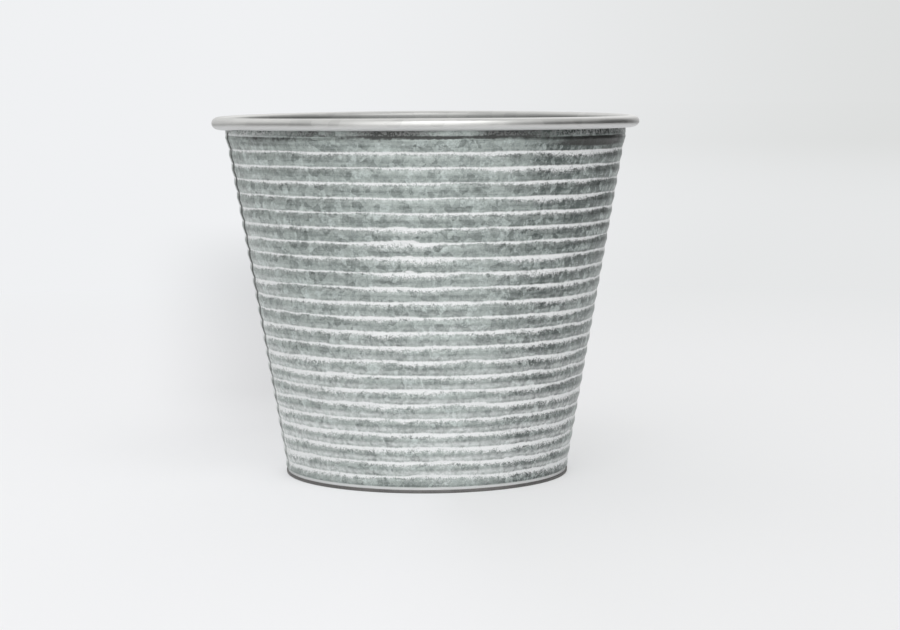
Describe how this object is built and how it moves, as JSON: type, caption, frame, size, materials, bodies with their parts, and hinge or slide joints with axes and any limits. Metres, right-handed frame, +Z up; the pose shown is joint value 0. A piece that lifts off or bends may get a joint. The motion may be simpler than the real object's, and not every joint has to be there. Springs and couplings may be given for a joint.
{
  "type": "florist bucket",
  "caption": "Tapered round bucket of galvanised sheet steel with horizontal ribs, a lapped side seam, a curled wired rim and a hemmed base.",
  "frame": {"origin": "centre of the circle that the base hem rests on, on the ground", "axes": "+Z up the bucket's axis; -Y is the front; the side seam is on the -X side, 15 degrees towards the front"},
  "size_m": [0.2538, 0.2538, 0.214],
  "materials": {
    "galvanised_ribbed": "weathered zinc spangle, with white wash left in the valleys between the ribs",
    "steel_wire": "plain drawn steel wire",
    "galvanised_plain": "dull dark zinc, satin inside",
    "sealing_compound": "matt grey sealing compound"
  },
  "bodies": {
    "root": {"wall_sheet": "galvanised_ribbed", "rim_wire": "steel_wire", "base_pan": "galvanised_plain", "base_sealant": "sealing_compound", "seam_sealant": "sealing_compound"}
  },
  "joints": []
}
